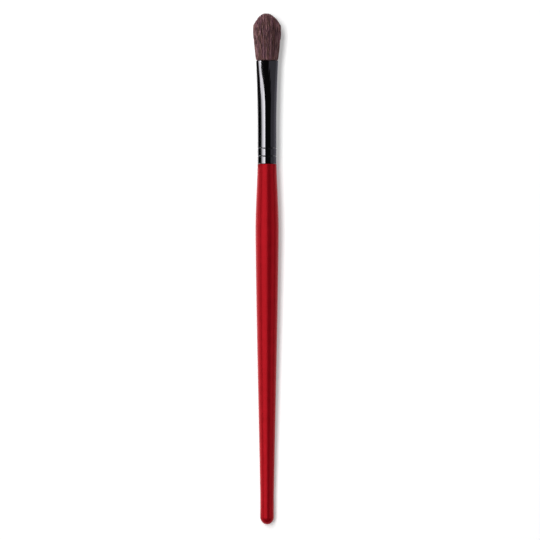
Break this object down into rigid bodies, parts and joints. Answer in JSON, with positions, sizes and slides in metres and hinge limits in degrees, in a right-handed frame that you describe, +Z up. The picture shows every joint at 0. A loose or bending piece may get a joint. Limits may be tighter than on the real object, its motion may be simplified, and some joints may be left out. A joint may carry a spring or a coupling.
{
  "type": "eyeshadow brush",
  "caption": "Slim make-up brush for eyeshadow: swelling red handle, black crimped ferrule flattened at its mouth, and a domed oval tuft of dark hair.",
  "frame": {"origin": "on the table, under the middle of the brush's length and width, as it lies on its side", "axes": "+Y along the brush from the handle's tail to the tip of the hair; +Z up from the table, square to the wide face of the head; +X across the wide face"},
  "size_m": [0.0098, 0.179, 0.0082],
  "materials": {
    "lacquered_wood": "satin",
    "black_metal": "gloss",
    "wood_glue": "satin",
    "resin": "gloss",
    "thread": "matte",
    "hair": "matte"
  },
  "bodies": {
    "root": {"handle": "lacquered_wood", "ferrule": "black_metal", "tenon_glue": "wood_glue", "resin_plug": "resin", "binding_thread": "thread", "hair_roots": "hair", "hair_tuft": "hair"}
  },
  "joints": []
}
